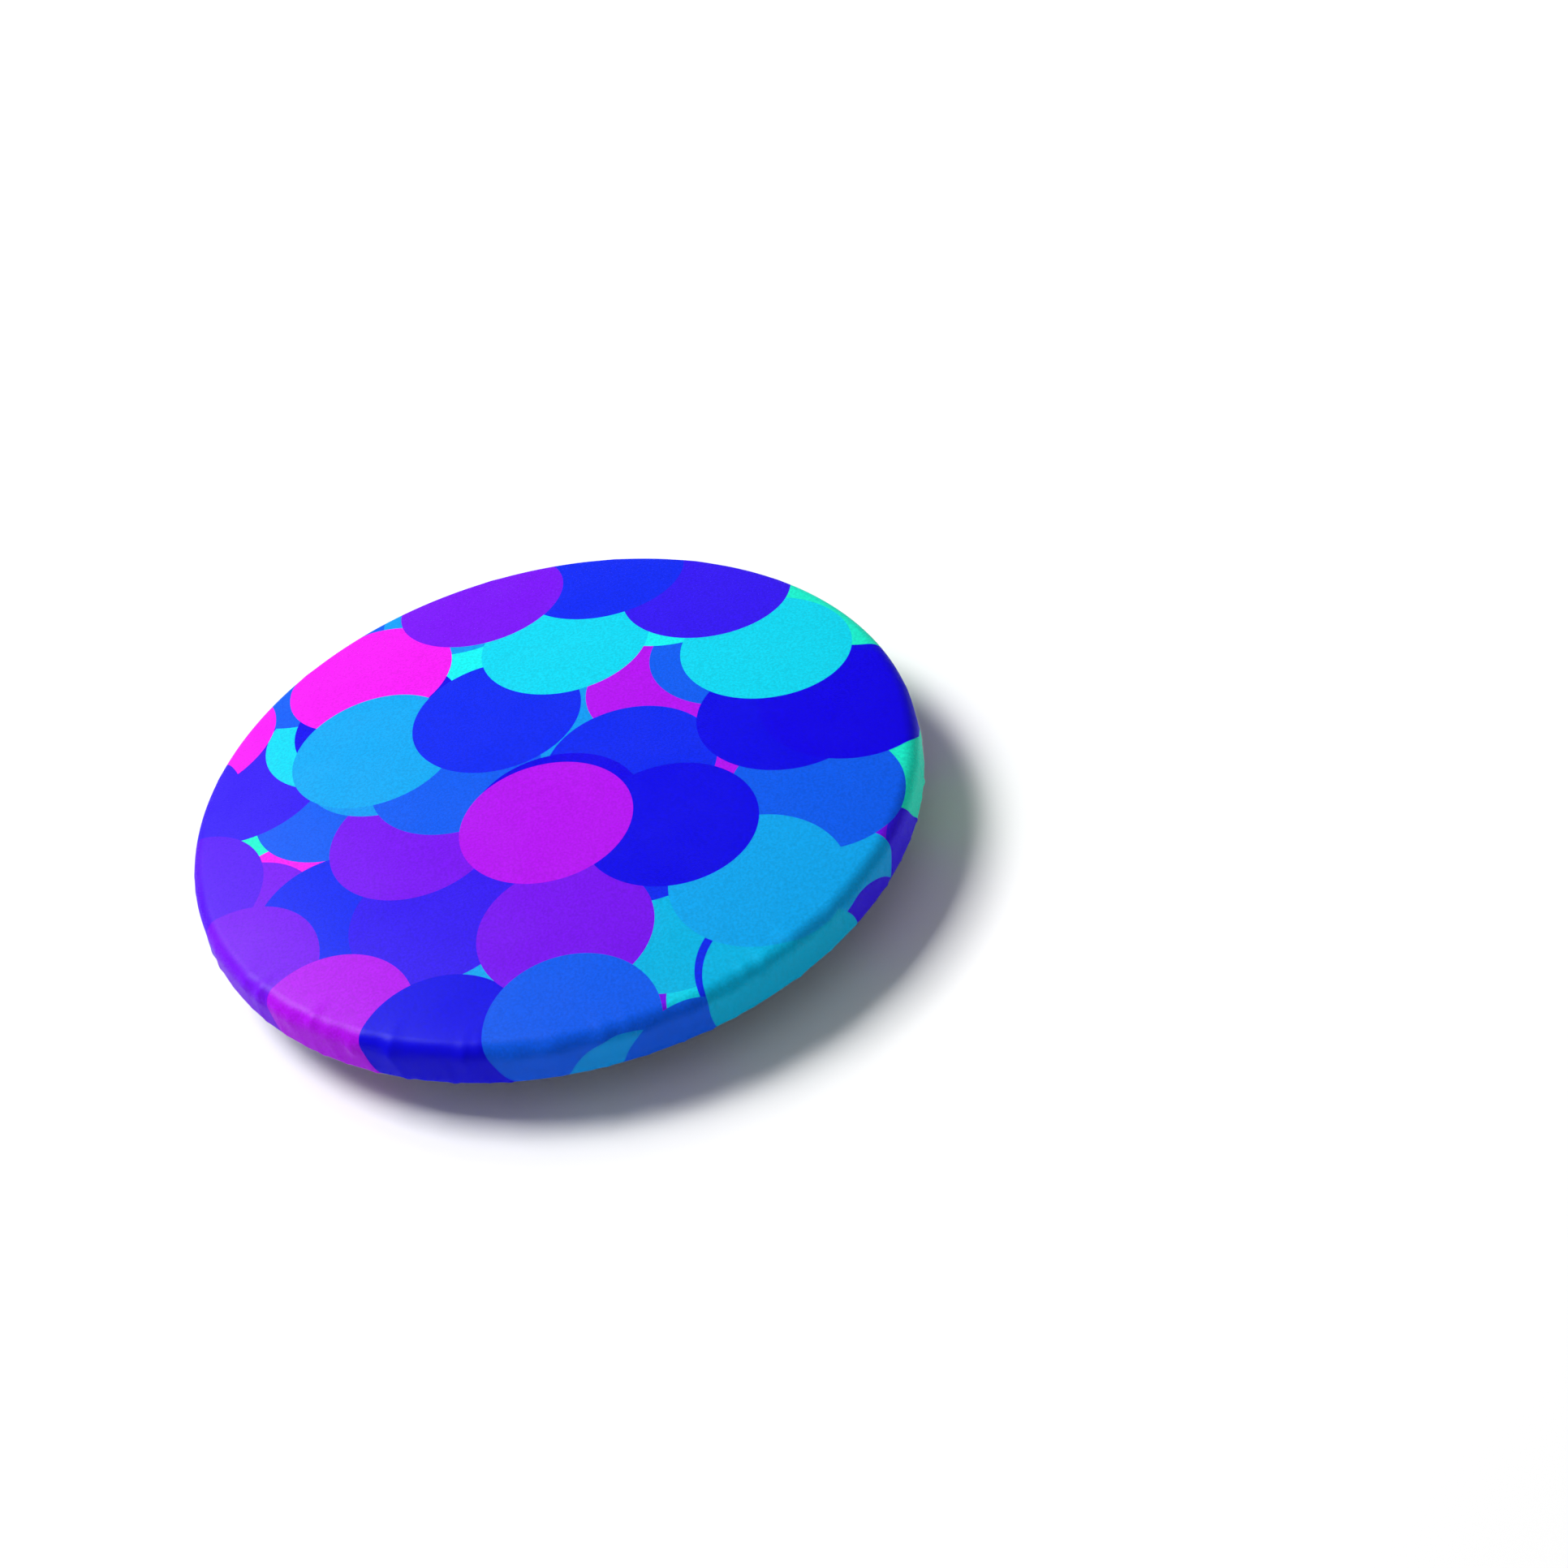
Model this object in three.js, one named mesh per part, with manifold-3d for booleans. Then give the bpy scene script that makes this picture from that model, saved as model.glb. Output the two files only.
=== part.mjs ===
// A 58 mm pin-back button badge, lying with its face up. Millimetres, +Z up.
//
// A domed steel shell carries a printed paper disc and a clear film, both turned under its rim.
// A pressed back plate with a rolled bead holds them there. One spring wire makes the pin: its
// catch hook, the tail that runs under the plate, the coil and the needle.
//
// The origin is under the middle of the badge, level with the lowest point of the pin. The pin
// lies along X: the coil is on the +X side, and the catch is on the -X side.

import * as THREE from "three";
import { mergeVertices } from "three/addons/utils/BufferGeometryUtils.js";
import Module from "manifold-3d";

const wasm = await Module();
wasm.setup();

// The badge as a whole
const BADGE_RADIUS = 29;
const TOTAL_HEIGHT = 8.95;
const REAR_Z = 3.1; // the rearmost line of the rim, which the pin stands clear of
const ROUND_SEGMENTS = 48;
const ARC_STEPS = 2; // each round stretch of a profile has twice as many straight steps

// The face: nearly flat in the middle, falling away to a rounded corner. Then a short side, and a
// hem turned under at the back.
const FACE_POWER = 2.8; // the face falls by this power of the distance from its middle
const FACE_STEPS = 7;
const CORNER_RADIUS = 1.4;
const SIDE_HEIGHT = 1.68;
const HEM_RADIUS = 1.05;

// The three skins, outermost first, with the fine gap between them
const FILM_THICKNESS = 0.06;
const PAPER_THICKNESS = 0.12;
const SHELL_THICKNESS = 0.25;
const SKIN_GAP = 0.015;

// How far each skin's turned-in edge runs up behind the rim
const FILM_TUCK = 2.2;
const PAPER_TUCK = 1.6;
const SHELL_TUCK = 0.4;

// The back plate
const PLATE_THICKNESS = 0.25;
const FLOOR_DEPTH = 3.4; // from the rim's rearmost line to the plate's flat floor
const FLOOR_FILLET = 0.8;
const WALL_ANGLE = THREE.MathUtils.degToRad(50);
const BEAD_RADIUS = 1.06;
const BEAD_LIFT = 0.05; // the bead sits this far inside the rim's rearmost line
const LEG_HEIGHT = 2.2;
const HOLE_RADIUS = 4.65;
const HOLE_X = 15.9;
const HOLE_SEGMENTS = 32;

// The pin's wire
const WIRE_RADIUS = 0.45;
const WIRE_SIDES = 8;
const WIRE_STEP = 0.62;
const COIL_X = 18;
const COIL_RADIUS = 2.45; // to the middle of the wire
const TURN_OFFSET = 0.475; // half of the distance between neighbouring turns
const LEG_OFFSET = 0.7; // where the tail and the needle leave the coil, either side of the middle
const FIXED_TURN = THREE.MathUtils.degToRad(300);
const MOVING_TURN = THREE.MathUtils.degToRad(270);

// The needle
const NEEDLE_SEGMENTS = 12;
const NEEDLE_ROOT_X = 17.4;
const NEEDLE_TIP = new THREE.Vector3(-20.4, -2.86, 1.72);
const NEEDLE_TAPER = 7;
const POINT_RADIUS = 0.06;

// The tail under the plate, and the catch hook
const TAIL_GAP = 0.07; // between the tail and the plate's inner side
const HOOK_X = -17.5;
const HOOK_POST_Y = -0.9;
const HOOK_FINGER_END_Y = -2.45;
const HOOK_BEND_RADIUS = 0.75;

// Places that follow from the dimensions above
const FLOOR_Z = REAR_Z + FLOOR_DEPTH;
const COIL_Z = COIL_RADIUS + WIRE_RADIUS;
const TAIL_Z = FLOOR_Z + PLATE_THICKNESS + TAIL_GAP + WIRE_RADIUS;
const HEM_X = BADGE_RADIUS - HEM_RADIUS;
const HEM_Z = REAR_Z + HEM_RADIUS;
const CORNER_X = BADGE_RADIUS - CORNER_RADIUS;
const CORNER_Z = HEM_Z + SIDE_HEIGHT;

// The slope at which the face meets the corner's arc, and where: its radius and its fall. The
// slope and the place settle together.
const faceEnd = { slope: 0, radius: 0, fall: 0 };
for (let round = 0; round < 20; round++) {
  faceEnd.radius = CORNER_X + CORNER_RADIUS * Math.sin(faceEnd.slope);
  faceEnd.fall = TOTAL_HEIGHT - CORNER_Z - CORNER_RADIUS * Math.cos(faceEnd.slope);
  faceEnd.slope = Math.atan((FACE_POWER * faceEnd.fall) / faceEnd.radius);
}

function finish(colour, roughness, metalness) {
  return new THREE.MeshStandardMaterial({ color: colour, roughness, metalness });
}

const steel = finish(0xb9b7b2, 0.38, 1);
const tinplate = finish(0xbcc2c4, 0.32, 1);
const paper = finish(0x3a22ee, 0.8, 0);
const film = finish(0xe8ecff, 0.25, 0);
const wire = finish(0xa9a49c, 0.2, 1);

// Turns a profile about the Z axis.
function revolve(profile, segments) {
  const geometry = new THREE.LatheGeometry(profile, segments);
  geometry.rotateX(Math.PI / 2);
  return geometry;
}

// A point of the face's outline, this share of the way out, moved inwards by the inset.
function facePoint(share, inset) {
  const steepness = (FACE_POWER * faceEnd.fall * share ** (FACE_POWER - 1)) / faceEnd.radius;
  const slope = Math.atan(steepness);
  const height = TOTAL_HEIGHT - faceEnd.fall * share ** FACE_POWER;
  const across = faceEnd.radius * share - inset * Math.sin(slope);
  return [across, height - inset * Math.cos(slope)];
}

// The line of a skin that lies this far inside the badge's outer surface, from the middle of the
// face, over the corner, down the side, round the hem and up behind the rim.
function skinLine(inset, tuck) {
  const line = new THREE.Path();
  line.moveTo(...facePoint(0, inset));
  for (let i = 1; i <= FACE_STEPS; i++) {
    line.lineTo(...facePoint(i / FACE_STEPS, inset));
  }
  const cornerStart = Math.PI / 2 - faceEnd.slope;
  line.absarc(CORNER_X, CORNER_Z, CORNER_RADIUS - inset, cornerStart, 0, true);
  line.absarc(HEM_X, HEM_Z, HEM_RADIUS - inset, 0, -Math.PI, true);
  line.lineTo(HEM_X - HEM_RADIUS + inset, HEM_Z + tuck);
  return line.getPoints(ARC_STEPS);
}

function skin(inset, thickness, tuck) {
  const outside = skinLine(inset, tuck);
  const inside = skinLine(inset + thickness, tuck);
  return revolve([...outside, ...inside.reverse()].reverse(), ROUND_SEGMENTS);
}

// The plate's line, from its middle out along the floor, down the wall, round the bead and up
// the leg. depth is 0 on the side that shows and the sheet's thickness on the hidden side.
function plateLine(depth) {
  const beadX = HEM_X - HEM_RADIUS - SKIN_GAP - BEAD_RADIUS;
  const beadZ = REAR_Z + BEAD_LIFT + BEAD_RADIUS;
  const filletZ = FLOOR_Z - FLOOR_FILLET;
  const across = FLOOR_FILLET + BEAD_RADIUS - (beadZ - filletZ) * Math.cos(WALL_ANGLE);
  const filletX = beadX - across / Math.sin(WALL_ANGLE);
  const wallNormal = Math.PI / 2 - WALL_ANGLE;
  const line = new THREE.Path();
  line.moveTo(0, FLOOR_Z + depth);
  line.lineTo(filletX, FLOOR_Z + depth);
  line.absarc(filletX, filletZ, FLOOR_FILLET + depth, Math.PI / 2, wallNormal, true);
  line.absarc(beadX, beadZ, BEAD_RADIUS - depth, wallNormal - Math.PI, 0, false);
  line.lineTo(beadX + BEAD_RADIUS - depth, beadZ + LEG_HEIGHT);
  return line.getPoints(ARC_STEPS);
}

// A revolved profile has flat slivers where it meets the axis, which the solid leaves out.
function toSolid(geometry) {
  const plain = geometry.toNonIndexed();
  plain.deleteAttribute("normal");
  plain.deleteAttribute("uv");
  const merged = mergeVertices(plain, 1e-4);
  const corners = [];
  for (let i = 0; i < merged.index.count; i += 3) {
    const triangle = [0, 1, 2].map((k) => merged.index.getX(i + k));
    if (new Set(triangle).size === 3) {
      corners.push(...triangle);
    }
  }
  const mesh = new wasm.Mesh({
    numProp: 3,
    vertProperties: new Float32Array(merged.attributes.position.array),
    triVerts: new Uint32Array(corners),
  });
  return new wasm.Manifold(mesh);
}

function toGeometry(solid) {
  const mesh = solid.getMesh();
  const geometry = new THREE.BufferGeometry();
  geometry.setAttribute("position", new THREE.BufferAttribute(mesh.vertProperties, 3));
  geometry.setIndex(new THREE.BufferAttribute(mesh.triVerts, 1));
  geometry.computeVertexNormals();
  return geometry;
}

// A dished plate with two round holes on the pin's line: the tail goes in by the one and comes
// out of the other as the catch.
function backPlate() {
  const profile = [...plateLine(0), ...plateLine(PLATE_THICKNESS).reverse()];
  let plate = toSolid(revolve(profile, ROUND_SEGMENTS));
  for (const side of [-1, 1]) {
    const cutter = new THREE.CylinderGeometry(HOLE_RADIUS, HOLE_RADIUS, 2, HOLE_SEGMENTS);
    cutter.rotateX(Math.PI / 2);
    cutter.translate(side * HOLE_X, 0, FLOOR_Z);
    plate = plate.subtract(toSolid(cutter));
  }
  return toGeometry(plate);
}

// A round wire along a path, with flat ends.
function wireAlong(path) {
  const section = new THREE.Shape();
  section.absarc(0, 0, WIRE_RADIUS, 0, 2 * Math.PI, false);
  const corners = section.getPoints(WIRE_SIDES / 2).slice(1);
  return new THREE.ExtrudeGeometry(new THREE.Shape(corners), {
    steps: Math.ceil(path.getLength() / WIRE_STEP),
    bevelEnabled: false,
    extrudePath: path,
  });
}

// A stretch of the coil. Angles count from the plate side, over the outer side, towards the
// needle side; the wire drifts along Y from one end of the stretch to the other.
class CoilArc extends THREE.Curve {
  constructor(startAngle, endAngle, startY, endY) {
    super();
    this.ends = { startAngle, endAngle, startY, endY };
  }

  getPoint(t, target = new THREE.Vector3()) {
    const { startAngle, endAngle, startY, endY } = this.ends;
    const angle = THREE.MathUtils.lerp(startAngle, endAngle, t);
    const x = COIL_X + COIL_RADIUS * Math.sin(angle);
    const z = COIL_Z + COIL_RADIUS * Math.cos(angle);
    return target.set(x, THREE.MathUtils.lerp(startY, endY, t), z);
  }
}

// The part of the wire that stays still: hook, tail and the first turn of the coil.
function pinBase() {
  const bendX = HOOK_X + 0.2;
  const fingerZ = WIRE_RADIUS + 0.02;
  const points = [
    [HOOK_X, HOOK_FINGER_END_Y, fingerZ],
    [HOOK_X, HOOK_POST_Y - HOOK_BEND_RADIUS, fingerZ],
    [HOOK_X, HOOK_POST_Y - HOOK_BEND_RADIUS * 0.29, fingerZ + HOOK_BEND_RADIUS * 0.29],
    [HOOK_X, HOOK_POST_Y, fingerZ + HOOK_BEND_RADIUS],
    [HOOK_X, HOOK_POST_Y, fingerZ + 2 * HOOK_BEND_RADIUS],
    [bendX, HOOK_POST_Y, 3.4],
    [bendX + 1.4, HOOK_POST_Y, 5.2],
    [-HOLE_X + 2.4, HOOK_POST_Y, 6.7],
    [-HOLE_X + 4.1, HOOK_POST_Y, TAIL_Z],
    [-HOLE_X + 6.5, HOOK_POST_Y * 0.8, TAIL_Z],
    [0, HOOK_POST_Y * 0.5, TAIL_Z],
    [HOLE_X - 6.5, -0.1, TAIL_Z],
    [HOLE_X - 4.1, 0, TAIL_Z],
    [HOLE_X - 2.2, 0.2, 6.8],
    [HOLE_X - 0.2, LEG_OFFSET - 0.15, 5.72],
  ].map((place) => new THREE.Vector3(...place));
  const coil = new CoilArc(0, FIXED_TURN, LEG_OFFSET, TURN_OFFSET);
  points.push(coil.getPoint(0));
  const path = new THREE.CurvePath();
  path.add(new THREE.CatmullRomCurve3(points, false, "centripetal"));
  path.add(coil);
  return wireAlong(path);
}

// The turn that unwinds as the needle lifts.
function pinCoil() {
  const end = 3 * Math.PI;
  return wireAlong(new CoilArc(end - MOVING_TURN, end, -TURN_OFFSET, -LEG_OFFSET));
}

// The straight shaft, from its rounded root to its sharp point.
function needle(length) {
  const profile = new THREE.Path();
  profile.absarc(0, 0, WIRE_RADIUS, -Math.PI / 2, 0, false);
  const points = profile.getPoints(ARC_STEPS);
  points[0].x = 0;
  points.push(new THREE.Vector2(WIRE_RADIUS, length - NEEDLE_TAPER));
  points.push(new THREE.Vector2(WIRE_RADIUS * 0.82, length - NEEDLE_TAPER * 0.62));
  points.push(new THREE.Vector2(WIRE_RADIUS * 0.46, length - NEEDLE_TAPER * 0.26));
  points.push(new THREE.Vector2(POINT_RADIUS, length));
  points.push(new THREE.Vector2(0, length));
  return new THREE.LatheGeometry(points, NEEDLE_SEGMENTS);
}

const badge = new THREE.Group();

function place(parent, name, geometry, material) {
  const mesh = new THREE.Mesh(geometry, material);
  mesh.name = name;
  parent.add(mesh);
  return mesh;
}

const paperInset = FILM_THICKNESS + SKIN_GAP;
const shellInset = paperInset + PAPER_THICKNESS + SKIN_GAP;
place(badge, "clear_film", skin(0, FILM_THICKNESS, FILM_TUCK), film);
place(badge, "printed_disc", skin(paperInset, PAPER_THICKNESS, PAPER_TUCK), paper);
place(badge, "front_shell", skin(shellInset, SHELL_THICKNESS, SHELL_TUCK), steel);
place(badge, "back_plate", backPlate(), tinplate);
place(badge, "pin_base", pinBase(), wire);
place(badge, "pin_coil", pinCoil(), wire);

const root = new THREE.Vector3(NEEDLE_ROOT_X, -LEG_OFFSET, COIL_Z - COIL_RADIUS);
const reach = NEEDLE_TIP.clone().sub(root);
const needleMesh = place(badge, "pin_needle", needle(reach.length()), wire);
needleMesh.position.copy(root);
needleMesh.quaternion.setFromUnitVectors(new THREE.Vector3(0, 1, 0), reach.normalize());

export default badge;
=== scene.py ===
"""A 58 mm pin-back button badge, lying face up on a pale floor.

Printed paper under a clear film covers a domed steel shell. A pressed tinplate back holds them
at the rim, and one spring wire makes the pin. Sizes here are in millimetres, and each mesh is
turned into metres as it is made.
"""

import math
import random

import bmesh
import bpy
import numpy as np
from mathutils import Matrix, Vector


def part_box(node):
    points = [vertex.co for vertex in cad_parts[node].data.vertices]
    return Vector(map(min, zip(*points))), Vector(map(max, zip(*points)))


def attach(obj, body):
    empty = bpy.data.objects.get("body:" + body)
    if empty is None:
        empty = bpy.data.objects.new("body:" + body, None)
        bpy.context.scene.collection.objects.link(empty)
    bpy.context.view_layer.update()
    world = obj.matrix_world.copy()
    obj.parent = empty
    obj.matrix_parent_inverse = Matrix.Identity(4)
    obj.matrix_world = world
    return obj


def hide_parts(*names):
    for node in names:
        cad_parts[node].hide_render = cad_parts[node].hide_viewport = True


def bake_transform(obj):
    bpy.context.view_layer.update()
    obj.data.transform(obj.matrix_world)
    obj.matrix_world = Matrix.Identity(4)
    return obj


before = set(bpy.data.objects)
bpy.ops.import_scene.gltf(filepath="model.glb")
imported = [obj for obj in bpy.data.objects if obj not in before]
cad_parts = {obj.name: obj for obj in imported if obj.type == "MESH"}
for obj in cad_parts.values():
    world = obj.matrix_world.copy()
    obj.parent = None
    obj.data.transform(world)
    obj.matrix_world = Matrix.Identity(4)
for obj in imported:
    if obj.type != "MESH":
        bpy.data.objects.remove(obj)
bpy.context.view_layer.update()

MM = 0.001


def node_box(node):
    """The lowest and highest corner of a CAD node, in millimetres."""
    low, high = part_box(node)
    return low / MM, high / MM


# ---------------------------------------------------------------- sizes

film_low, film_high = node_box("clear_film")
BADGE_RADIUS = film_high.x
TOTAL_HEIGHT = film_high.z
REAR_Z = film_low.z  # the rearmost line of the rim

# The face: nearly flat in the middle, falling away to a rounded corner. Then a short side, and a
# hem turned under at the back.
FACE_POWER = 2.8  # the face falls by this power of the distance from its middle
CORNER_RADIUS = 1.4
HEM_RADIUS = 1.05
SIDE_HEIGHT = 1.68
HEM_X = BADGE_RADIUS - HEM_RADIUS
HEM_Z = REAR_Z + HEM_RADIUS
CORNER_X = BADGE_RADIUS - CORNER_RADIUS
CORNER_Z = HEM_Z + SIDE_HEIGHT

# The skins, outermost first, and how far each one's edge runs up behind the rim
FILM_THICKNESS = 0.06
PAPER_THICKNESS = 0.12
SHELL_THICKNESS = 0.25
SKIN_GAP = 0.015
FILM_TUCK = 2.2
PAPER_TUCK = 1.6
SHELL_TUCK = 0.4

# The back plate
PLATE_THICKNESS = 0.25
FLOOR_Z = node_box("back_plate")[1].z - PLATE_THICKNESS
FLOOR_FILLET = 0.8
WALL_ANGLE = math.radians(50)
BEAD_RADIUS = 1.06
BEAD_SET_BACK = 0.05  # how far the bead stays inside the rim's rearmost line
BEAD_X = HEM_X - HEM_RADIUS - SKIN_GAP - BEAD_RADIUS
BEAD_Z = REAR_Z + BEAD_SET_BACK + BEAD_RADIUS
LEG_HEIGHT = 2.2  # the plate's edge, standing up inside the rim
HOLE_RADIUS = 4.65
HOLE_X = 15.9

# The pin's wire: tail, coil, needle and catch hook
WIRE_RADIUS = 0.45
COIL_X = 18.0
COIL_RADIUS = 2.45
COIL_Z = COIL_RADIUS + WIRE_RADIUS
LEG_OFFSET = 0.7  # where the tail and the needle leave the coil, either side of the middle
COIL_TURN = 3 * math.pi
TAIL_GAP = 0.07  # between the tail and the plate's inner face
TAIL_Z = FLOOR_Z + PLATE_THICKNESS + TAIL_GAP + WIRE_RADIUS
HOOK_X = -17.5
HOOK_POST_Y = -0.9
HOOK_FINGER_END_Y = -2.45
HOOK_BEND_RADIUS = 0.75
HOOK_FINGER_Z = WIRE_RADIUS + 0.02
NEEDLE_TIP = Vector((-20.4, -2.86, 1.72))
NEEDLE_BOW = 0.18  # how far the shaft bows away from the plate
NEEDLE_TAPER = 7.0
POINT_RADIUS = 0.06
END_ROUNDING = 0.6  # how much of the wire's radius the hook's cut end is rounded by

# How finely the meshes are divided
SKIN_SEGMENTS = 720
SHELL_SEGMENTS = 192
PLATE_SEGMENTS = 240
HOLE_SEGMENTS = 96
WIRE_SIDES = 28
COIL_STEPS = 150
SHARP_ANGLE = math.radians(40)


# ---------------------------------------------------------------- outlines

def arc(centre_x, centre_z, radius, start, end, steps):
    angles = np.linspace(start, end, steps + 1)
    return np.column_stack([centre_x + radius * np.cos(angles), centre_z + radius * np.sin(angles)])


def straight(start, end, steps):
    return np.linspace(start, end, steps + 1)


def joined(*runs):
    """The runs as one line, without the point that two neighbours share."""
    return np.vstack([runs[0]] + [run[1:] for run in runs[1:]])


def face_end():
    """The slope at which the face meets the corner's arc, and where: its radius and its fall."""
    slope = 0.0
    for _ in range(20):
        fall = TOTAL_HEIGHT - CORNER_Z - CORNER_RADIUS * math.cos(slope)
        radius = CORNER_X + CORNER_RADIUS * math.sin(slope)
        slope = math.atan(FACE_POWER * fall / radius)
    return slope, radius, fall


def skin_line(inset, tuck):
    """A skin's line, from the middle of the face to the end of its tucked-in edge."""
    slope, end_radius, fall = face_end()
    across = straight((0, 0), (end_radius, 0), 26)[:, 0]
    face = np.column_stack([across, TOTAL_HEIGHT - fall * (across / end_radius) ** FACE_POWER])
    corner = arc(CORNER_X, CORNER_Z, CORNER_RADIUS, math.pi / 2 - slope, 0, 14)
    side = straight((BADGE_RADIUS, CORNER_Z), (BADGE_RADIUS, HEM_Z), 6)
    hem = arc(HEM_X, HEM_Z, HEM_RADIUS, 0, -math.pi, 16)
    edge_x = HEM_X - HEM_RADIUS
    edge = straight((edge_x, HEM_Z), (edge_x, HEM_Z + tuck), 3)
    line = joined(face, corner, side, hem, edge)
    return line - inset * outward_from(line)


def outward_from(line):
    """The direction out of a line's outer side at each of its points."""
    tangent = np.gradient(line, axis=0)
    tangent /= np.linalg.norm(tangent, axis=1)[:, None]
    outward = np.column_stack([-tangent[:, 1], tangent[:, 0]])
    outward[0] = (0, 1)
    return outward


def plate_line(depth):
    """The plate's line, from its middle over the floor, down the wall, round the bead and up."""
    fillet_z = FLOOR_Z - FLOOR_FILLET
    across = FLOOR_FILLET + BEAD_RADIUS - (BEAD_Z - fillet_z) * math.cos(WALL_ANGLE)
    fillet_x = BEAD_X - across / math.sin(WALL_ANGLE)
    normal = math.pi / 2 - WALL_ANGLE
    floor = straight((0, FLOOR_Z + depth), (fillet_x, FLOOR_Z + depth), 24)
    fillet = arc(fillet_x, fillet_z, FLOOR_FILLET + depth, math.pi / 2, normal, 8)
    bead = arc(BEAD_X, BEAD_Z, BEAD_RADIUS - depth, normal - math.pi, 0, 22)
    wall = straight(fillet[-1], bead[0], 6)
    leg_x = BEAD_X + BEAD_RADIUS - depth
    leg = straight((leg_x, BEAD_Z), (leg_x, BEAD_Z + LEG_HEIGHT), 4)
    return joined(floor, fillet, wall, bead, leg)


def lengths_along(line):
    steps = np.linalg.norm(np.diff(line, axis=0), axis=1)
    return np.concatenate([[0], np.cumsum(steps)])


# How far along the film's line its side and its hem start and end
HEM_END = lengths_along(skin_line(0, FILM_TUCK))[-1] - FILM_TUCK
HEM_START = HEM_END - math.pi * HEM_RADIUS
SIDE_START = HEM_START - SIDE_HEIGHT


# ---------------------------------------------------------------- meshes

def finish_mesh(name, verts, faces):
    """A mesh object from points in millimetres, smooth except at its sharp edges."""
    mesh = bpy.data.meshes.new(name)
    mesh.from_pydata((np.asarray(verts) * MM).tolist(), [], faces)
    work = bmesh.new()
    work.from_mesh(mesh)
    bmesh.ops.recalc_face_normals(work, faces=work.faces)
    work.to_mesh(mesh)
    work.free()
    mesh.shade_smooth()
    mesh.set_sharp_from_angle(angle=SHARP_ANGLE)
    obj = bpy.data.objects.new(name, mesh)
    bpy.context.scene.collection.objects.link(obj)
    return obj


def revolve(name, outside, inside, segments, lift=None):
    """A closed sheet turned about the Z axis. outside and inside run from the axis to the edge.

    lift gives how far a point stands out, by its angle and its place along the line. The mesh
    keeps where each point lay when the sheet was flat, in millimetres, as the UV map "flat".
    """
    angles = np.linspace(0, 2 * math.pi, segments, endpoint=False)
    cosines, sines = np.cos(angles), np.sin(angles)
    stations = lengths_along(outside)
    outward = outward_from(outside)
    rings, flats = [], []
    order = [(outside, i) for i in range(len(outside))]
    order += [(inside, i) for i in reversed(range(len(inside)))]
    for line, i in order:
        if line[i, 0] < 1e-6:
            rings.append(np.array([[0, 0, line[i, 1]]]))
            flats.append(np.zeros((1, 2)))
            continue
        stand = lift(angles, stations[i]) if lift else np.zeros(segments)
        radius = line[i, 0] + outward[i, 0] * stand
        height = line[i, 1] + outward[i, 1] * stand
        rings.append(np.column_stack([radius * cosines, radius * sines, height]))
        flats.append(np.column_stack([stations[i] * cosines, stations[i] * sines]))
    starts = np.concatenate([[0], np.cumsum([len(ring) for ring in rings])])
    faces = []
    for k in range(len(rings) - 1):
        first, second = int(starts[k]), int(starts[k + 1])
        for j in range(segments):
            after = (j + 1) % segments
            if len(rings[k]) == 1:
                faces.append((first, second + j, second + after))
            elif len(rings[k + 1]) == 1:
                faces.append((first + j, second, first + after))
            else:
                faces.append((first + j, second + j, second + after, first + after))
    obj = finish_mesh(name, np.vstack(rings), faces)
    flat = np.vstack(flats)
    layer = obj.data.uv_layers.new(name="flat")
    corners = np.zeros(len(obj.data.loops), int)
    obj.data.loops.foreach_get("vertex_index", corners)
    layer.data.foreach_set("uv", flat[corners].ravel())
    return obj


def sampled(points, per_span):
    """A smooth curve through the points, as a centripetal Catmull-Rom spline."""
    points = [Vector(p) for p in points]
    ends = [2 * points[0] - points[1], 2 * points[-1] - points[-2]]
    chain = [ends[0], *points, ends[1]]
    line = []
    for p0, p1, p2, p3 in zip(chain, chain[1:], chain[2:], chain[3:]):
        t1 = (p1 - p0).length ** 0.5
        t2 = t1 + (p2 - p1).length ** 0.5
        t3 = t2 + (p3 - p2).length ** 0.5
        for k in range(per_span):
            t = t1 + (t2 - t1) * k / per_span
            a1 = p0 * (1 - t / t1) + p1 * (t / t1)
            a2 = p1 + (p2 - p1) * ((t - t1) / (t2 - t1))
            a3 = p2 + (p3 - p2) * ((t - t2) / (t3 - t2))
            b1 = a1 + (a2 - a1) * (t / t2)
            b2 = a2 + (a3 - a2) * ((t - t1) / (t3 - t1))
            line.append(b1 + (b2 - b1) * ((t - t1) / (t2 - t1)))
    return line + [points[-1]]


def tube(name, line, radii, first_ahead=None, last_ahead=None, sides=WIRE_SIDES):
    """A round wire along a line of points, closed at both ends.

    Two wires that meet share the direction there, so that their end rings match.
    """
    verts, faces = [], []
    ahead = first_ahead or (line[1] - line[0]).normalized()
    across = Vector((0, 1, 0))
    last = len(line) - 1
    for i, place in enumerate(line):
        turned = (line[min(i + 1, last)] - line[max(i - 1, 0)]).normalized()
        if i == 0:
            turned = ahead
        if i == last and last_ahead:
            turned = last_ahead
        across = ahead.rotation_difference(turned) @ across
        across = (across - turned * across.dot(turned)).normalized()
        ahead = turned
        up = ahead.cross(across)
        for k in range(sides):
            angle = 2 * math.pi * k / sides
            out = across * math.cos(angle) + up * math.sin(angle)
            verts.append(tuple(place + out * radii[i]))
    for i in range(last):
        for k in range(sides):
            near, far = i * sides, (i + 1) * sides
            after = (k + 1) % sides
            faces.append((near + k, near + after, far + after, far + k))
    faces.append(tuple(range(sides)))
    faces.append(tuple(reversed(range(last * sides, (last + 1) * sides))))
    return finish_mesh(name, verts, faces)


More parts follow.
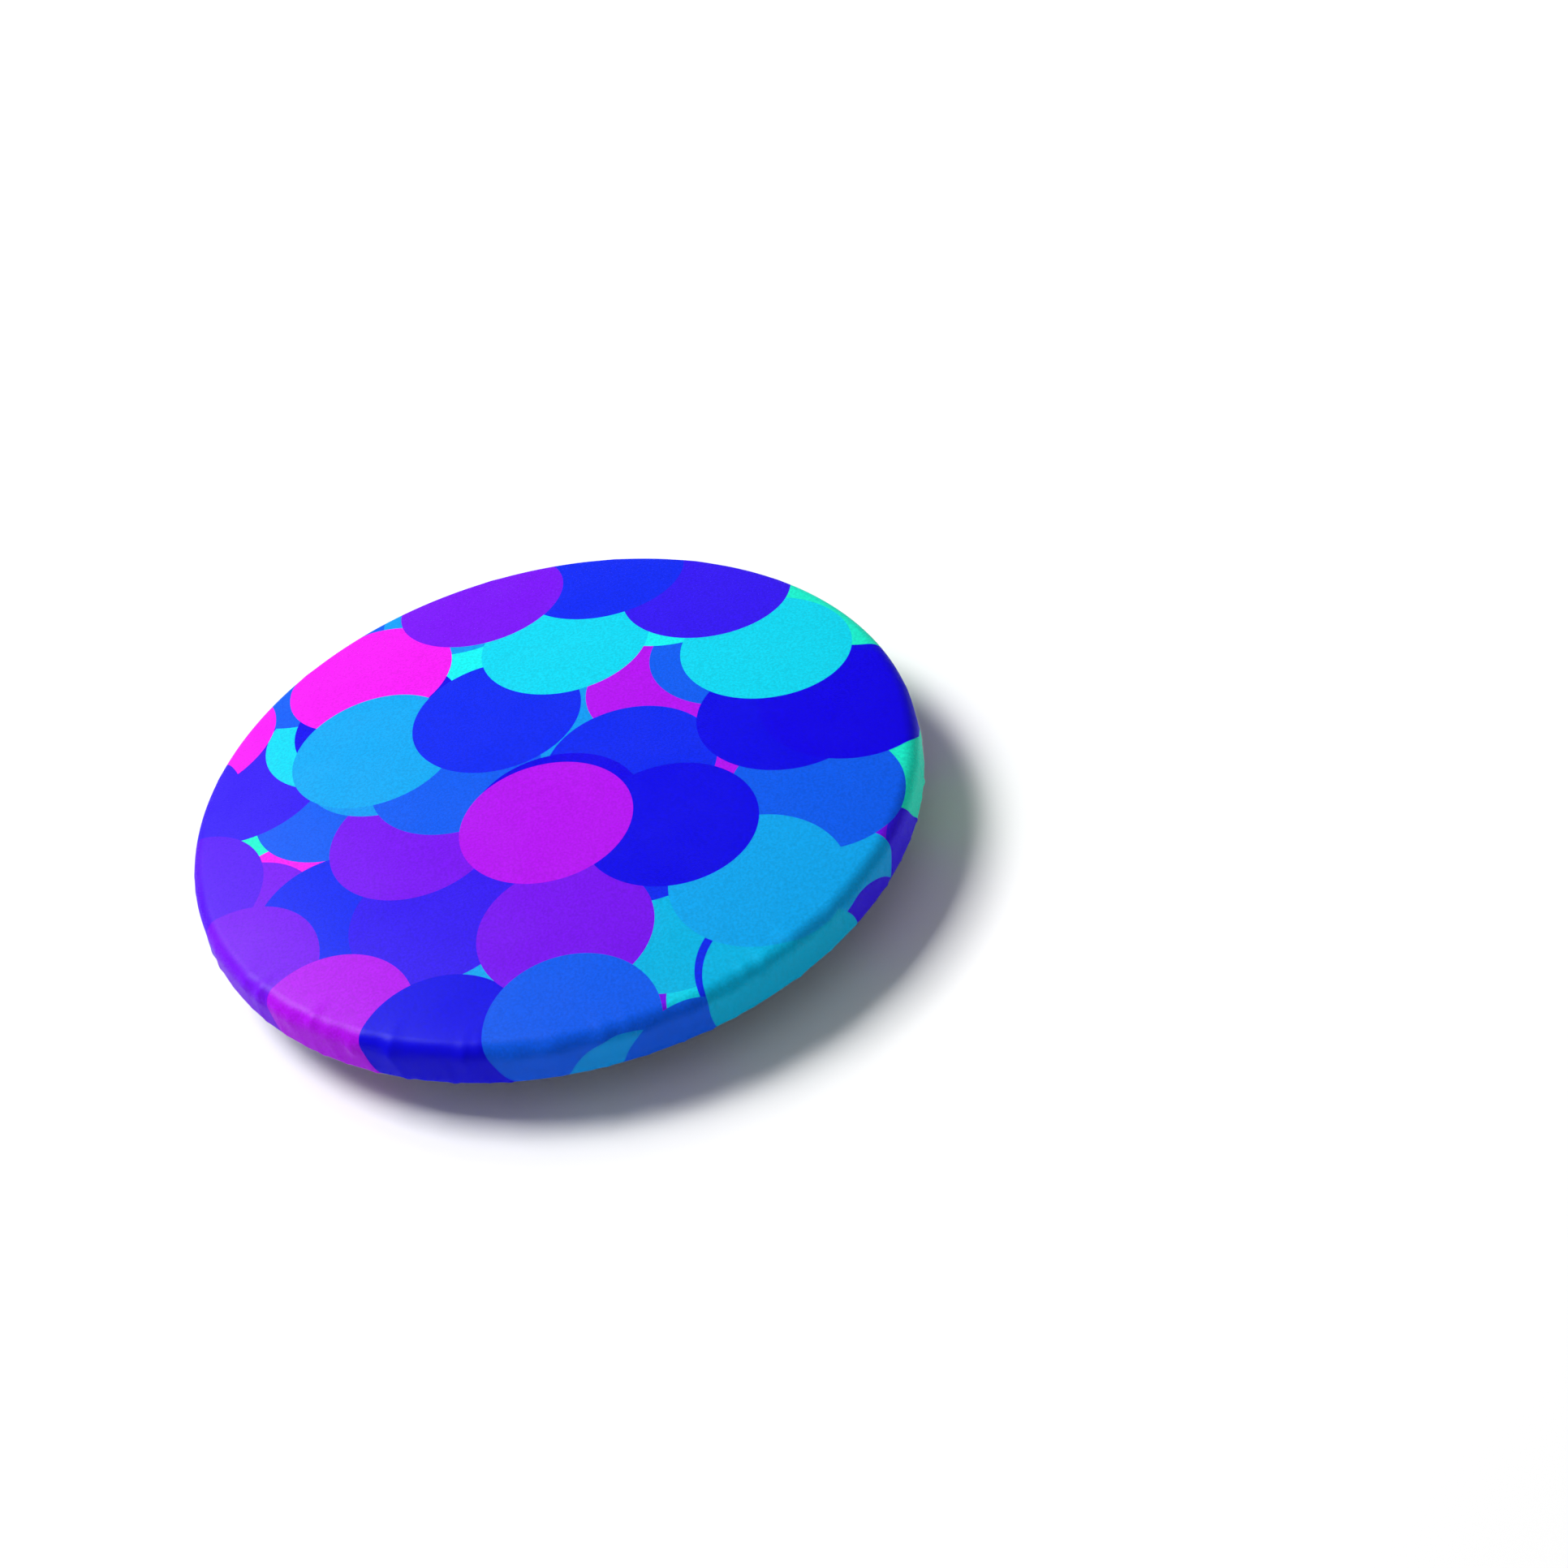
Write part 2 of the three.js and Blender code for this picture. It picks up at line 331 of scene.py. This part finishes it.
def rounded_end(line, radius, steps=7):
    """The line's last point moved back, and points and radii that round the wire off there."""
    ahead = (line[-1] - line[-2]).normalized()
    angles = [math.radians(90 * k / steps) for k in range(steps + 1)]
    points = [line[-1] - ahead * radius * END_ROUNDING * (1 - math.sin(a)) for a in angles]
    radii = [radius * (1 - END_ROUNDING * (1 - math.cos(a))) for a in angles]
    return points, radii


def cut_holes(plate):
    """Cuts the two round holes that the wire goes through."""
    for side in (-1, 1):
        work = bmesh.new()
        bmesh.ops.create_cone(
            work, cap_ends=True, segments=HOLE_SEGMENTS, depth=2 * MM,
            radius1=HOLE_RADIUS * MM, radius2=HOLE_RADIUS * MM,
            matrix=Matrix.Translation(Vector((side * HOLE_X, 0, FLOOR_Z)) * MM))
        cutter_mesh = bpy.data.meshes.new("hole_cutter")
        work.to_mesh(cutter_mesh)
        work.free()
        cutter = bpy.data.objects.new("hole_cutter", cutter_mesh)
        bpy.context.scene.collection.objects.link(cutter)
        modifier = plate.modifiers.new("hole", "BOOLEAN")
        modifier.object = cutter
        modifier.operation = "DIFFERENCE"
        modifier.solver = "EXACT"
        bpy.context.view_layer.update()
        evaluated = plate.evaluated_get(bpy.context.evaluated_depsgraph_get())
        cut = bpy.data.meshes.new_from_object(evaluated)
        plate.modifiers.clear()
        plate.data = cut
        bpy.data.objects.remove(cutter)
    plate.data.set_sharp_from_angle(angle=SHARP_ANGLE)


# ---------------------------------------------------------------- pleats at the rim

PLEATS = 76
PUCKERS = 60
pleat_random = random.Random(11)


def made_pleats():
    """Each pleat: its angle, width, height and lean, and where along the line it starts."""
    pleats = []
    for k in range(PLEATS):
        angle = 2 * math.pi * (k + pleat_random.uniform(-0.38, 0.38)) / PLEATS
        width = pleat_random.uniform(0.35, 0.95) / BADGE_RADIUS
        height = pleat_random.choice([0.03, 0.045, 0.06, 0.085, 0.11])
        lean = pleat_random.uniform(0.1, 0.45) / BADGE_RADIUS
        reach = pleat_random.uniform(-1.1, 0.3)
        pleats.append((angle, width, height, lean, reach))
    return pleats


def made_puckers():
    """Small uneven puckers near the corner, most of them on the near side of the rim.

    Each is an angle, a place along the film's line, a width, a length and a height.
    """
    puckers = []
    for k in range(PUCKERS):
        near_side = k % 4 != 0
        angle = pleat_random.uniform(205, 335) if near_side else pleat_random.uniform(0, 360)
        place = SIDE_START + pleat_random.uniform(-1.3, 0.6)
        width = pleat_random.uniform(0.6, 1.7)
        length = pleat_random.uniform(0.5, 1.2)
        heights = (0.08, 0.18) if near_side else (0.02, 0.06)
        height = pleat_random.uniform(*heights)
        puckers.append((math.radians(angle), place, width, length, height))
    return puckers


PLEAT_LIST = made_pleats()
PUCKER_LIST = made_puckers()


def smooth_step(value, low, high):
    t = min(max((value - low) / (high - low), 0), 1)
    return t * t * (3 - 2 * t)


def pleat_lift(angles, station):
    """How far the gathered film stands out from the rim. It is flat where the back plate grips."""
    gripped = 1 - smooth_step(station, HEM_END - 0.9, HEM_END - 0.3)
    total = np.zeros(len(angles))
    if gripped == 0 or station < SIDE_START - 3.5:
        return total
    for angle, width, height, lean, reach in PLEAT_LIST:
        start = SIDE_START + reach
        grown = smooth_step(station, start, start + 1.8)
        if grown == 0:
            continue
        middle = angle + lean * (station - SIDE_START)
        off = (angles - middle + math.pi) % (2 * math.pi) - math.pi
        slope = np.where(off < 0, width, width * 0.45)
        total += height * grown * np.clip(1 - np.abs(off) / slope, 0, 1) ** 1.4
    for angle, place, width, length, height in PUCKER_LIST:
        along = math.exp(-(((station - place) / length) ** 2))
        off = (angles - angle + math.pi) % (2 * math.pi) - math.pi
        total += height * along * np.clip(1 - np.abs(off) * BADGE_RADIUS / width, 0, 1) ** 1.3
    return total * gripped


# ---------------------------------------------------------------- materials

def linear(code):
    """An sRGB colour such as "#1A60F0" as linear red, green, blue and alpha."""
    parts = [int(code[i:i + 2], 16) / 255 for i in (1, 3, 5)]
    return tuple(c / 12.92 if c < 0.04045 else ((c + 0.055) / 1.055) ** 2.4 for c in parts) + (1,)


class Shader:
    """A material and the few calls that its nodes are made with."""

    def __init__(self, name):
        self.material = bpy.data.materials.new(name)
        self.material.use_nodes = True
        self.tree = self.material.node_tree
        self.tree.nodes.clear()
        self.output = self.tree.nodes.new("ShaderNodeOutputMaterial")

    def node(self, kind, settings=None, **inputs):
        """Makes a node. Each input is a socket to link from, or a constant."""
        made = self.tree.nodes.new("ShaderNode" + kind)
        for name, value in (settings or {}).items():
            setattr(made, name, value)
        for name, value in inputs.items():
            self.feed(made.inputs[name.replace("_", " ")], value)
        return made

    def feed(self, socket, value):
        if isinstance(value, bpy.types.NodeSocket):
            self.tree.links.new(value, socket)
        else:
            socket.default_value = value

    def maths(self, operation, *values):
        made = self.node("Math", {"operation": operation})
        for socket, value in zip(made.inputs, values):
            self.feed(socket, value)
        return made.outputs[0]

    def spread(self, value, low, high, to_low, to_high):
        """The value taken from one range to another, and kept within it."""
        made = self.node("MapRange", Value=value)
        limits = {"From Min": low, "From Max": high, "To Min": to_low, "To Max": to_high}
        for name, number in limits.items():
            made.inputs[name].default_value = number
        return made.outputs["Result"]

    def mixed(self, factor, first, second, blend="MIX"):
        """A mix of two colours. 6, 7 and 2 are the Mix node's colour sockets."""
        made = self.node("Mix", {"data_type": "RGBA", "blend_type": blend})
        self.feed(made.inputs["Factor"], factor)
        self.feed(made.inputs[6], first)
        self.feed(made.inputs[7], second)
        return made.outputs[2]

    def place(self, size=(1, 1, 1)):
        """Object coordinates, in units of the given sizes in millimetres."""
        coordinates = self.node("TexCoord").outputs["Object"]
        scale = tuple(1 / (s * MM) for s in size)
        mapping = self.node("Mapping", Vector=coordinates, Scale=scale)
        return mapping.outputs["Vector"]

    def noise(self, vector, detail=3.0, roughness=0.5):
        return self.node("TexNoise", Vector=vector, Scale=1.0, Detail=detail,
                         Roughness=roughness).outputs["Fac"]

    def bump(self, height, distance, strength=1.0):
        return self.node("Bump", Height=height, Distance=distance * MM,
                         Strength=strength).outputs["Normal"]

    def surface(self, socket):
        self.tree.links.new(socket, self.output.inputs["Surface"])
        return self.material


# The print: round dots laid over one another, listed from the bottom of the stack to the top.
# Each is a colour and its middle on the flat sheet, in millimetres from the middle of the face.
DOT_RADIUS = 6.85
BLUE, AZURE, AQUA, CYAN = "#1A60F0", "#1A9AF0", "#24F0CE", "#20F0F0"
TURQUOISE, SKY, TEAL = "#1AD6F0", "#1AA8F0", "#16B8E8"
ROYAL, DEEP, MIDNIGHT = "#1A30F0", "#1A16E8", "#1C12E8"
INDIGO, VIOLET, PURPLE, PLUM = "#3A20F0", "#5A1CF0", "#7A1CF0", "#B41CF0"
PINK = "#F022F0"
DOTS = [
    (AZURE, 2.5, 4), (AZURE, -20, 2.5), (AQUA, -26, 6), (PINK, -21.5, -6.5), (CYAN, -4.5, 14.5),
    (AZURE, -4, 25), (PLUM, 12, -2), (PLUM, 11, 7), (BLUE, 16.5, 9.5), (CYAN, 12.5, 19),
    (DEEP, 30.5, 6), (AQUA, 27, 14.5), (PURPLE, 1, -30), (TURQUOISE, 12, -28.5), (SKY, -5, -22),
    (TEAL, 6.5, -20), (ROYAL, 6, -10.5), (PURPLE, 24, -16), (INDIGO, 31, -16.5), (SKY, 19.5, -20.5),
    (INDIGO, 26.5, -25), (AQUA, 26.5, -5.5), (BLUE, 20, -9), (ROYAL, 6.5, -1.5), (DEEP, 19, 0.5),
    (MIDNIGHT, 24, 0.5), (BLUE, -16.5, 3.5), (INDIGO, -23.5, 9.5), (TURQUOISE, -15, 12),
    (BLUE, -17, 21.5), (DEEP, -12.5, 12.5), (PINK, -27.5, 17.5), (INDIGO, -31, 10),
    (PURPLE, -26, -7), (VIOLET, -30, -1.5), (ROYAL, -18, -10), (PURPLE, -26.5, -12),
    (INDIGO, -10.5, -13), (PLUM, -20, -20.5), (PURPLE, -11, -3.5), (AZURE, -12, 7),
    (BLUE, -7, 2.5), (MIDNIGHT, 0, -5), (PINK, -12.5, 18.5), (SKY, -13, 8.5), (ROYAL, -3, 8.5),
    (TURQUOISE, 3.5, 16), (TURQUOISE, 19, 9.5), (INDIGO, 15.5, 19), (ROYAL, 7.5, 25),
    (PURPLE, -2.5, 25.5), (DEEP, -12, -26), (PURPLE, -1, -18), (BLUE, -2, -27.5),
    (AZURE, 2, -36), (ROYAL, 14.5, -26.5), (BLUE, 7.5, -34.5), (TEAL, 15, -27),
    (TEAL, 19, -28.5), (SKY, 14, -17.5), (DEEP, 8.5, -9.5), (PLUM, -0.8, -5.8),
]


FILM_VEIL = 0.006  # the grey that the film's own shine adds over the print


def ink(code):
    return tuple(max(c - FILM_VEIL, 0) for c in linear(code)[:3]) + (1,)


def print_material():
    """The dots, each laid over those before it, on slightly uneven matt paper."""
    shader = Shader("printed_paper")
    flat = shader.node("UVMap", {"uv_map": "flat"}).outputs["UV"]
    colour = ink(BLUE)
    for code, x, y in DOTS:
        away = shader.node("VectorMath", {"operation": "DISTANCE"})
        shader.feed(away.inputs[0], flat)
        away.inputs[1].default_value = (x, y, 0)
        inside = shader.maths("LESS_THAN", away.outputs["Value"], DOT_RADIUS)
        colour = shader.mixed(inside, colour, ink(code))
    grain = shader.noise(shader.place((0.2, 0.2, 0.2)), detail=2)
    shade = shader.spread(grain, 0.35, 0.65, 0.86, 1.04)
    shades = shader.node("CombineColor", Red=shade, Green=shade, Blue=shade).outputs[0]
    colour = shader.mixed(1.0, colour, shades, "MULTIPLY")
    paper = shader.node("BsdfPrincipled", Base_Color=colour, Roughness=0.75)
    paper.inputs["Specular IOR Level"].default_value = 0.0
    shader.feed(paper.inputs["Normal"], shader.bump(grain, 0.01, 0.4))
    return shader.surface(paper.outputs[0])


FILM_SHINE = 0.2  # a satin film reflects less than a polished one


def film_material():
    """Clear film: all see-through apart from a satin shine on its outer side."""
    shader = Shader("clear_film")
    grain = shader.noise(shader.place((0.25, 0.25, 0.25)), detail=2)
    soft = shader.noise(shader.place((3.5, 3.5, 3.5)), detail=2)
    normal = shader.bump(grain, 0.012, 0.55)
    gloss = shader.node("BsdfAnisotropic", Color=(1, 1, 1, 1),
                        Roughness=shader.spread(soft, 0.3, 0.7, 0.34, 0.42), Normal=normal)
    clear = shader.node("BsdfTransparent", Color=(1, 1, 1, 1))
    fresnel = shader.node("Fresnel", IOR=1.45, Normal=normal).outputs[0]
    outer_side = shader.maths("SUBTRACT", 1.0, shader.node("NewGeometry").outputs["Backfacing"])
    shine = shader.maths("MULTIPLY", shader.maths("MULTIPLY", fresnel, outer_side), FILM_SHINE)
    mix = shader.node("MixShader")
    shader.feed(mix.inputs[0], shine)
    shader.feed(mix.inputs[1], clear.outputs[0])
    shader.feed(mix.inputs[2], gloss.outputs[0])
    return shader.surface(mix.outputs[0])


def brushed_metal(name, dark, light, rough_low, rough_high, depth):
    """Rolled sheet with fine straight lines along X and soft stains."""
    shader = Shader(name)
    fine = shader.noise(shader.place((8, 0.06, 0.3)), detail=4, roughness=0.6)
    broad = shader.noise(shader.place((30, 0.5, 2)), detail=2)
    stains = shader.noise(shader.place((7, 7, 7)), detail=3)
    lines = shader.maths("MULTIPLY_ADD", broad, 0.35, fine)
    tone = shader.spread(shader.maths("ADD", lines, stains), 0.8, 1.6, 0, 1)
    colour = shader.mixed(tone, linear(dark), linear(light))
    metal = shader.node("BsdfPrincipled", Base_Color=colour, Metallic=1.0,
                        Roughness=shader.spread(lines, 0.4, 0.95, rough_low, rough_high),
                        Normal=shader.bump(lines, depth, 0.5))
    return shader.surface(metal.outputs[0])


def wire_material():
    """Polished nickel with a faint cloud of duller metal."""
    shader = Shader("nickel_wire")
    cloud = shader.noise(shader.place((1.8, 1.8, 1.8)), detail=4)
    pits = shader.noise(shader.place((0.12, 0.12, 0.12)), detail=2)
    tone = shader.spread(cloud, 0.35, 0.65, 0, 1)
    colour = shader.mixed(tone, linear("#B9B4AC"), linear("#D6D3CC"))
    metal = shader.node("BsdfPrincipled", Base_Color=colour, Metallic=1.0,
                        Roughness=shader.spread(cloud, 0.3, 0.7, 0.14, 0.24),
                        Normal=shader.bump(pits, 0.004, 0.35))
    return shader.surface(metal.outputs[0])


def floor_material():
    shader = Shader("pale_floor")
    soft = shader.noise(shader.place((60, 60, 60)), detail=2)
    colour = shader.mixed(soft, linear("#FBFBFB"), linear("#FDFDFD"))
    paint = shader.node("BsdfPrincipled", Base_Color=colour, Roughness=0.9)
    paint.inputs["Specular IOR Level"].default_value = 0.1
    return shader.surface(paint.outputs[0])


# ---------------------------------------------------------------- the pieces

def wear(obj, material):
    obj.data.materials.clear()
    obj.data.materials.append(material)


def make_skins():
    """The film, the printed paper and the steel shell, each nested in the one before."""
    paper_inset = FILM_THICKNESS + SKIN_GAP
    shell_inset = paper_inset + PAPER_THICKNESS + SKIN_GAP
    steel = brushed_metal("plain_tinplate", "#9C9A96", "#C4C3C0", 0.28, 0.42, 0.01)
    skins = [
        ("film", "clear_film", 0, FILM_THICKNESS, FILM_TUCK, film_material(), pleat_lift),
        ("print", "printed_disc", paper_inset, PAPER_THICKNESS, PAPER_TUCK, print_material(), pleat_lift),
        ("shell", "front_shell", shell_inset, SHELL_THICKNESS, SHELL_TUCK, steel, None),
    ]
    for slot, node, inset, thickness, tuck, material, lift in skins:
        segments = SKIN_SEGMENTS if lift else SHELL_SEGMENTS
        outside, inside = skin_line(inset, tuck), skin_line(inset + thickness, tuck)
        obj = revolve(node + "_fine", outside, inside, segments, lift)
        wear(obj, material)
        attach(obj, "badge")
        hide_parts(node)


def make_plate():
    plate = revolve("back_plate_fine", plate_line(0), plate_line(PLATE_THICKNESS), PLATE_SEGMENTS)
    cut_holes(plate)
    tinplate = brushed_metal("brushed_tinplate", "#B2B7B9", "#CDD2D3", 0.22, 0.36, 0.008)
    wear(plate, tinplate)
    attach(plate, "badge")
    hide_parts("back_plate")


def coil_point(angle):
    """A place on the coil. The angle counts from the plate side, over the outer side."""
    share = angle / COIL_TURN
    x = COIL_X + COIL_RADIUS * math.sin(angle)
    z = COIL_Z + COIL_RADIUS * math.cos(angle)
    return Vector((x, LEG_OFFSET * (1 - 2 * share), z))


def coil_direction(angle):
    """The wire's own direction at a place on the coil."""
    step = 1e-4
    return (coil_point(angle + step) - coil_point(angle - step)).normalized()


def make_pin(material):
    """The one spring wire in three pieces: hook and tail, coil, and needle."""
    bend_x = HOOK_X + 0.2
    route = [  # from the hook's cut end, through the catch hole, under the plate and to the coil
        (HOOK_X, HOOK_FINGER_END_Y, HOOK_FINGER_Z),
        (HOOK_X, HOOK_POST_Y - HOOK_BEND_RADIUS, HOOK_FINGER_Z),
        (HOOK_X, HOOK_POST_Y - HOOK_BEND_RADIUS * 0.29, HOOK_FINGER_Z + HOOK_BEND_RADIUS * 0.29),
        (HOOK_X, HOOK_POST_Y, HOOK_FINGER_Z + HOOK_BEND_RADIUS),
        (HOOK_X, HOOK_POST_Y, HOOK_FINGER_Z + 2 * HOOK_BEND_RADIUS),
        (bend_x, HOOK_POST_Y, 3.4),
        (bend_x + 1.4, HOOK_POST_Y, 5.2),
        (-HOLE_X + 2.4, HOOK_POST_Y, 6.7),
        (-HOLE_X + 4.1, HOOK_POST_Y, TAIL_Z),
        (-HOLE_X + 6.5, HOOK_POST_Y * 0.8, TAIL_Z),
        (0, HOOK_POST_Y * 0.5, TAIL_Z),
        (HOLE_X - 6.5, -0.1, TAIL_Z),
        (HOLE_X - 4.1, 0, TAIL_Z),
        (HOLE_X - 2.2, 0.2, 6.8),
        (HOLE_X - 0.2, LEG_OFFSET - 0.15, 5.72),
        tuple(coil_point(0)),
    ]
    tail = sampled(route, 14)[::-1]
    cap_points, cap_radii = rounded_end(tail, WIRE_RADIUS)
    radii = [WIRE_RADIUS] * (len(tail) - 2) + cap_radii
    base = tube("pin_base_fine", tail[:-2] + cap_points, radii, first_ahead=-coil_direction(0))
    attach(base, "badge")
    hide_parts("pin_base")

    turns = [coil_point(COIL_TURN * k / COIL_STEPS) for k in range(COIL_STEPS + 1)]
    coil = tube("pin_coil_fine", turns, [WIRE_RADIUS] * len(turns),
                first_ahead=coil_direction(0), last_ahead=coil_direction(COIL_TURN))
    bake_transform(coil)
    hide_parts("pin_coil")

    root = coil_point(COIL_TURN)
    reach = NEEDLE_TIP - root
    bow = Vector((0, 0, -NEEDLE_BOW))
    shares = (0.06, 0.2, 0.45, 0.7, 0.85)
    shaft = [root + reach * t + bow * math.sin(math.pi * t) for t in shares]
    line = sampled([root] + shaft + [NEEDLE_TIP], 24)
    radii = [needle_radius((NEEDLE_TIP - place).length) for place in line]
    needle = tube("pin_needle_fine", line, radii, first_ahead=coil_direction(COIL_TURN))
    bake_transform(needle)
    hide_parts("pin_needle")
    for piece in (base, coil, needle):
        wear(piece, material)


def needle_radius(to_tip):
    """The shaft's radius by its distance from the tip: a long taper that ends in a point."""
    share = min(to_tip / NEEDLE_TAPER, 1)
    return POINT_RADIUS + (WIRE_RADIUS - POINT_RADIUS) * math.sin(share * math.pi / 2) ** 0.8


# ---------------------------------------------------------------- the stage

CAMERA_ELEVATION = math.radians(39.8)
CAMERA_ROLL = math.radians(14.5)
CAMERA_DISTANCE = 400.9
LOOK_AT = Vector((0, 0, 6))
FRAME_SHIFT = (17.9, 1.2)  # the badge lies left of the middle of the picture
LENS = 118
SENSOR_WIDTH = 36
FLOOR_HALF_WIDTH = 3  # metres
SKY_STRENGTH = 0.24


def add_camera():
    """The camera looks from the front and above, and leans a little to one side."""
    ahead = Vector((0, math.cos(CAMERA_ELEVATION), -math.sin(CAMERA_ELEVATION)))
    level = Vector((1, 0, 0))
    upright = Vector((0, math.sin(CAMERA_ELEVATION), math.cos(CAMERA_ELEVATION)))
    up = upright * math.cos(CAMERA_ROLL) + level * math.sin(CAMERA_ROLL)
    right = level * math.cos(CAMERA_ROLL) - upright * math.sin(CAMERA_ROLL)
    place = LOOK_AT - ahead * CAMERA_DISTANCE + right * FRAME_SHIFT[0] + up * FRAME_SHIFT[1]
    data = bpy.data.cameras.new("camera")
    data.lens = LENS
    data.sensor_width = SENSOR_WIDTH
    data.clip_start = 0.01
    data.clip_end = 20
    camera = bpy.data.objects.new("camera", data)
    bpy.context.scene.collection.objects.link(camera)
    turn = Matrix((right, up, -ahead)).transposed().to_4x4()
    camera.matrix_world = Matrix.Translation(place * MM) @ turn
    bpy.context.scene.camera = camera


def add_light(name, place, width, power):
    """A square softbox at a place in metres, facing the badge."""
    data = bpy.data.lights.new(name, "AREA")
    data.shape = "SQUARE"
    data.size = width
    data.energy = power
    light = bpy.data.objects.new(name, data)
    bpy.context.scene.collection.objects.link(light)
    light.location = place
    light.rotation_mode = "QUATERNION"
    light.rotation_quaternion = (-Vector(place)).to_track_quat("-Z", "Y")


def add_stage():
    """The pale floor, the even sky, the key light and a small light for the face's sheen."""
    work = bmesh.new()
    bmesh.ops.create_grid(work, x_segments=8, y_segments=8, size=FLOOR_HALF_WIDTH)
    mesh = bpy.data.meshes.new("floor")
    work.to_mesh(mesh)
    work.free()
    mesh.materials.append(floor_material())
    floor = bpy.data.objects.new("floor", mesh)
    bpy.context.scene.collection.objects.link(floor)

    world = bpy.data.worlds.new("studio")
    world.use_nodes = True
    sky = world.node_tree.nodes["Background"]
    sky.inputs["Color"].default_value = (1, 1, 1, 1)
    sky.inputs["Strength"].default_value = SKY_STRENGTH
    bpy.context.scene.world = world

    add_light("key", (-1.12, 0.85, 1.7), 0.95, 53)
    add_light("sheen", (-0.30, 0.545, 0.535), 0.12, 0.66)
    bpy.context.scene.view_settings.view_transform = "Standard"


add_stage()
add_camera()
make_skins()
make_plate()
make_pin(wire_material())
